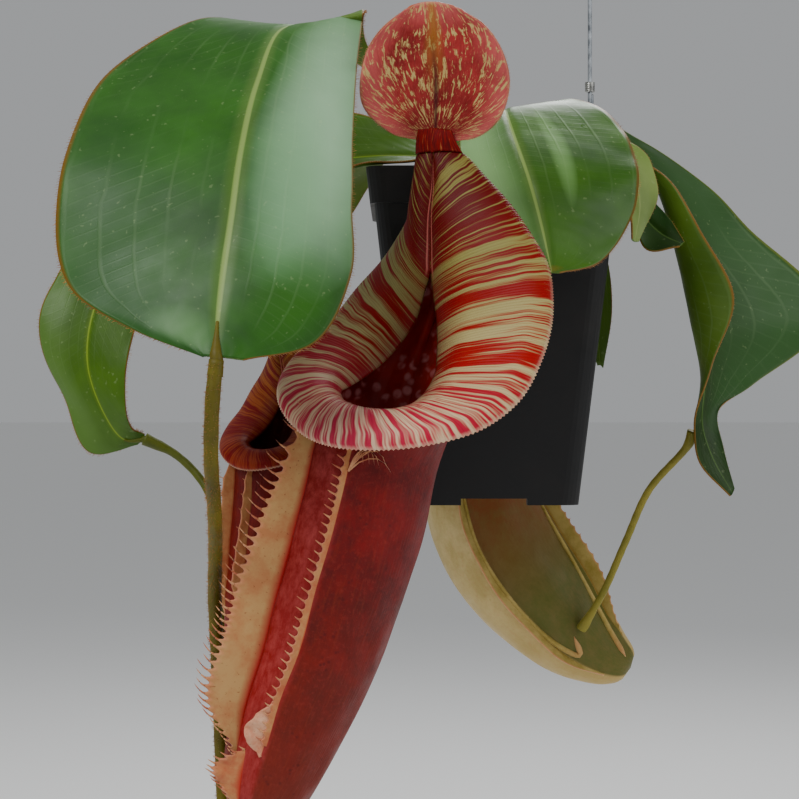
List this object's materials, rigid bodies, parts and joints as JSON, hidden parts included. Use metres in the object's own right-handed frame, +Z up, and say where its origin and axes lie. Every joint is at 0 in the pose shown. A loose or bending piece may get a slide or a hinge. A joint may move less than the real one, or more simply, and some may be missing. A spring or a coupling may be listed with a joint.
{
  "type": "potted pitcher plant",
  "caption": "Tropical pitcher plant with striped rims and broad leaves in a deep square nursery pot that hangs from a wire hook.",
  "frame": {"origin": "the inside top of the wire's hook, where it rests on its peg", "axes": "+Z up, -Y towards the viewer of the picture, +X to the viewer's right"},
  "size_m": [0.324, 0.3331, 0.461],
  "materials": {
    "pot_plastic": "black moulded plastic with a faint sheen",
    "bark_mix": "rough, damp bark and moss",
    "stem_bark": "green brown, fibrous",
    "wire_steel": "galvanised, slightly dull",
    "ferrule_metal": "bright crimped sleeve",
    "leaf_blade": "waxy, softly glossy",
    "tendril_skin": "finely hairy, satin",
    "rim_ribs": "glossy, striped red and cream",
    "cup_wall": "satin, finely hairy",
    "lid_blade": "satin, flecked"
  },
  "bodies": {
    "root": {"pot": "pot_plastic", "growing_mix": "bark_mix", "stem": "stem_bark", "hanger_wire": "wire_steel", "hanger_ferrule": "ferrule_metal", "leaf_spear": "leaf_blade", "leaf_front": "leaf_blade", "leaf_right": "leaf_blade", "leaf_left": "leaf_blade", "leaf_far_right": "leaf_blade", "leaf_behind_pot": "leaf_blade", "leaf_back": "leaf_blade", "leaf_folded": "leaf_blade", "leaf_small": "leaf_blade", "tendril_main": "tendril_skin", "tendril_left": "tendril_skin", "tendril_right": "tendril_skin", "pitcher_main_rim": "rim_ribs", "pitcher_main_cup": "cup_wall", "pitcher_main_lid": "lid_blade", "pitcher_left_rim": "rim_ribs", "pitcher_left_cup": "cup_wall", "pitcher_left_lid": "lid_blade", "pitcher_back_rim": "rim_ribs", "pitcher_back_cup": "cup_wall", "pitcher_back_lid": "lid_blade"}
  },
  "joints": []
}
